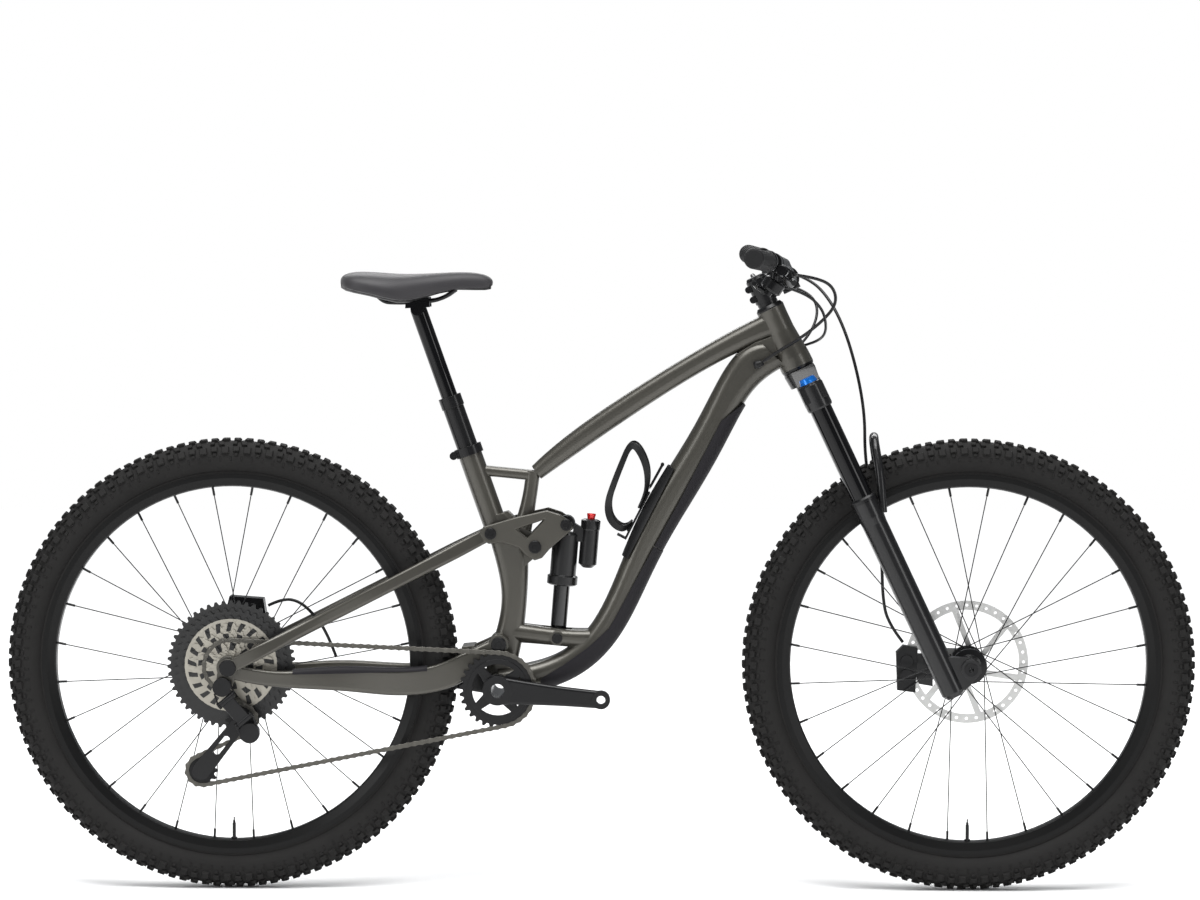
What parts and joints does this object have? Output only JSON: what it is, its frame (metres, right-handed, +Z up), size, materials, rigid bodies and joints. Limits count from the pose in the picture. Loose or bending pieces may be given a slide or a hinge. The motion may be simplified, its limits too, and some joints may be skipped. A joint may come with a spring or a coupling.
{
  "type": "mountain bike",
  "caption": "Full-suspension mountain bike with a dropper post, disc brakes and a single-ring drivetrain, without pedals.",
  "frame": {"origin": "on the ground, midway between the two axles, in the frame's middle plane", "axes": "+X forward, +Z up, -Y towards the drive side"},
  "size_m": [1.954, 0.791, 1.0584],
  "materials": {
    "frame_paint": "satin",
    "black_metal": "satin anodised",
    "fork_paint": "gloss",
    "black_plastic": "matte",
    "guard_rubber": "matte",
    "grip_rubber": "matte ribbed",
    "tyre": "matte",
    "rim": "satin anodised",
    "spoke_steel": "black oxide",
    "rotor_steel": "brushed",
    "cassette_steel": "satin",
    "chain_steel": "satin",
    "stanchion": "polished",
    "saddle_cover": "satin",
    "hose": "satin",
    "blue_anodised": "anodised",
    "red_anodised": "anodised",
    "shock_shaft_metal": "polished"
  },
  "bodies": {
    "frame": {"front_frame": "frame_paint", "down_tube_guard": "guard_rubber", "frame_hardware": "black_metal", "dropper_outer": "black_metal", "rear_brake_hose": "hose", "shift_housing": "hose", "dropper_housing": "hose"},
    "storage_door": {"storage_door": "black_plastic", "bottle_cage": "black_plastic"},
    "storage_latch": {"storage_latch": "black_metal"},
    "swingarm": {"chainstays": "frame_paint", "chainstay_guard": "guard_rubber", "rear_axle": "black_metal", "rear_caliper": "black_metal", "rear_brake_tail": "hose", "derailleur_mount": "black_metal", "chain": "chain_steel"},
    "seatstay": {"seatstays": "frame_paint"},
    "rocker": {"rocker_link": "frame_paint", "rocker_hardware": "black_metal"},
    "shock_body": {"shock_body": "black_metal"},
    "shock_shaft": {"shock_shaft": "shock_shaft_metal"},
    "shock_dial": {"shock_dial": "red_anodised"},
    "fork_upper": {"fork_crown": "fork_paint", "fork_stanchions": "stanchion", "stem": "black_metal", "handlebar": "black_metal", "grips": "grip_rubber", "brake_body_right": "black_metal", "brake_body_left": "black_metal"},
    "fork_dial": {"fork_dial": "blue_anodised"},
    "fork_lowers": {"fork_lowers": "fork_paint", "fork_seals": "hose", "front_axle": "black_metal", "front_caliper": "black_metal", "front_brake_hose": "hose"},
    "front_wheel": {"front_tyre": "tyre", "front_rim": "rim", "front_spokes": "spoke_steel", "front_hub": "black_metal", "front_rotor": "rotor_steel"},
    "rear_wheel": {"rear_tyre": "tyre", "rear_rim": "rim", "rear_spokes": "spoke_steel", "rear_hub": "black_metal", "rear_rotor": "rotor_steel"},
    "cassette": {"cassette": "cassette_steel"},
    "crank": {"crank_arms": "black_metal", "chainring": "black_metal"},
    "derailleur_link": {"derailleur_link": "black_metal"},
    "derailleur_knuckle": {"derailleur_knuckle": "black_metal"},
    "derailleur_cage": {"derailleur_cage": "black_metal"},
    "guide_pulley": {"guide_pulley": "black_plastic"},
    "tension_pulley": {"tension_pulley": "black_plastic"},
    "brake_lever_right": {"brake_lever_right": "black_metal"},
    "brake_lever_left": {"brake_lever_left": "black_metal"},
    "shift_lever": {"shift_lever": "black_metal"},
    "dropper_lever": {"dropper_lever": "black_metal"},
    "saddle": {"dropper_post": "stanchion", "saddle": "saddle_cover"}
  },
  "joints": [
    {"name": "steering", "type": "hinge", "parent": "frame", "child": "fork_upper", "pos_m": [0.32341, 0, 0.86163], "axis": [-0.4258, 0, 0.9048], "range_deg": [-75, 75], "deforming": ["rear_brake_hose", "shift_housing", "dropper_housing"]},
    {"name": "fork_travel", "type": "slide", "parent": "fork_upper", "child": "fork_lowers", "axis": [-0.4258, 0, 0.9048], "range_m": [0, 0.15], "stiffness_N_per_m": 3000, "springref_m": -0.04, "deforming": ["front_brake_hose"]},
    {"name": "front_wheel_spin", "type": "hinge", "parent": "fork_lowers", "child": "front_wheel", "pos_m": [0.605, 0, 0.372], "axis": [0, 1, 0], "continuous": true},
    {"name": "swingarm_pivot", "type": "hinge", "parent": "frame", "child": "swingarm", "pos_m": [-0.165, 0, 0.4066], "axis": [0, 1, 0], "range_deg": [0, 18], "stiffness_Nm_per_rad": 900, "springref_deg": -14.32, "deforming": ["chain"]},
    {"name": "seatstay_pivot", "type": "hinge", "parent": "swingarm", "child": "seatstay", "pos_m": [-0.605, 0, 0.372], "axis": [0, 1, 0], "range_deg": [-7.08, 0]},
    {"name": "rocker_pivot", "type": "hinge", "parent": "frame", "child": "rocker", "pos_m": [-0.1054, 0, 0.5671], "axis": [0, 1, 0], "range_deg": [0, 51.72]},
    {"name": "shock_shaft_pivot", "type": "hinge", "parent": "frame", "child": "shock_shaft", "pos_m": [-0.0697, 0, 0.416], "axis": [0, 1, 0], "range_deg": [0, 7.1]},
    {"name": "shock_travel", "type": "slide", "parent": "shock_shaft", "child": "shock_body", "axis": [-0.0819, 0, -0.9966], "range_m": [0, 0.0516]},
    {"name": "shock_dial_turn", "type": "hinge", "parent": "shock_body", "child": "shock_dial", "pos_m": [-0.0146, 0, 0.61044], "axis": [0.0819, 0, 0.9966], "range_deg": [0, 300]},
    {"name": "rear_wheel_spin", "type": "hinge", "parent": "swingarm", "child": "rear_wheel", "pos_m": [-0.605, 0, 0.372], "axis": [0, 1, 0], "continuous": true},
    {"name": "crank_spin", "type": "hinge", "parent": "frame", "child": "crank", "pos_m": [-0.166, 0, 0.334], "axis": [0, 1, 0], "continuous": true, "deforming": ["chain"]},
    {"name": "cassette_spin", "type": "hinge", "parent": "swingarm", "child": "cassette", "pos_m": [-0.605, 0, 0.372], "axis": [0, 1, 0], "continuous": true},
    {"name": "derailleur_shift", "type": "hinge", "parent": "swingarm", "child": "derailleur_link", "pos_m": [-0.607, -0.092, 0.32], "axis": [0.7719, 0, 0.6357], "range_deg": [-18, 0], "deforming": ["chain"]},
    {"name": "derailleur_level", "type": "hinge", "parent": "derailleur_link", "child": "derailleur_knuckle", "pos_m": [-0.579, -0.082, 0.286], "axis": [0.7719, 0, 0.6357], "range_deg": [0, 18]},
    {"name": "cage_swing", "type": "hinge", "parent": "derailleur_knuckle", "child": "derailleur_cage", "pos_m": [-0.571, 0, 0.264], "axis": [0, 1, 0], "range_deg": [0, 30], "stiffness_Nm_per_rad": 0.8, "deforming": ["chain"]},
    {"name": "guide_pulley_spin", "type": "hinge", "parent": "derailleur_cage", "child": "guide_pulley", "pos_m": [-0.586, 0, 0.283], "axis": [0, 1, 0], "continuous": true},
    {"name": "tension_pulley_spin", "type": "hinge", "parent": "derailleur_cage", "child": "tension_pulley", "pos_m": [-0.652, 0, 0.2], "axis": [0, 1, 0], "continuous": true},
    {"name": "brake_lever_right_pull", "type": "hinge", "parent": "fork_upper", "child": "brake_lever_right", "pos_m": [0.30841, -0.226, 1.0123], "axis": [0.5736, 0, 0.8192], "range_deg": [-18, 0], "stiffness_Nm_per_rad": 0.6, "springref_deg": 8.59},
    {"name": "brake_lever_left_pull", "type": "hinge", "parent": "fork_upper", "child": "brake_lever_left", "pos_m": [0.30841, 0.226, 1.0123], "axis": [0.5736, 0, 0.8192], "range_deg": [0, 18], "stiffness_Nm_per_rad": 0.6, "springref_deg": -8.59},
    {"name": "shift_lever_push", "type": "hinge", "parent": "fork_upper", "child": "shift_lever", "pos_m": [0.26968, -0.18, 0.98211], "axis": [0.5736, 0, 0.8192], "range_deg": [0, 25], "stiffness_Nm_per_rad": 0.3, "springref_deg": -5.73},
    {"name": "dropper_lever_push", "type": "hinge", "parent": "fork_upper", "child": "dropper_lever", "pos_m": [0.2726, 0.186, 0.98813], "axis": [0.5736, 0, 0.8192], "range_deg": [-25, 0], "stiffness_Nm_per_rad": 0.3, "springref_deg": 5.73},
    {"name": "dropper_travel", "type": "slide", "parent": "frame", "child": "saddle", "axis": [-0.3346, 0, 0.9424], "range_m": [-0.14, 0]},
    {"name": "fork_dial_turn", "type": "hinge", "parent": "fork_upper", "child": "fork_dial", "pos_m": [0.33645, -0.065, 0.84566], "axis": [-0.4258, 0, 0.9048], "range_deg": [0, 270]},
    {"name": "storage_door_open", "type": "hinge", "parent": "frame", "child": "storage_door", "pos_m": [0.0351, 0, 0.55243], "axis": [0, 1, 0], "range_deg": [-12, 0]},
    {"name": "storage_latch_open", "type": "hinge", "parent": "storage_door", "child": "storage_latch", "pos_m": [0.10261, 0, 0.70032], "axis": [0, 1, 0], "range_deg": [0, 60]}
  ],
  "couplings": [
    {"joint": "seatstay_pivot", "follows": "swingarm_pivot", "ratio": -0.388},
    {"joint": "rocker_pivot", "follows": "swingarm_pivot", "ratio": 2.8622},
    {"joint": "shock_shaft_pivot", "follows": "swingarm_pivot", "ratio": 0.389},
    {"joint": "shock_travel", "follows": "swingarm_pivot", "m_per_rad": 0.16276},
    {"joint": "cassette_spin", "follows": "crank_spin", "ratio": 1.4286},
    {"joint": "guide_pulley_spin", "follows": "crank_spin", "ratio": -2.5},
    {"joint": "tension_pulley_spin", "follows": "crank_spin", "ratio": 2.5},
    {"joint": "derailleur_level", "follows": "derailleur_shift", "ratio": -1}
  ]
}
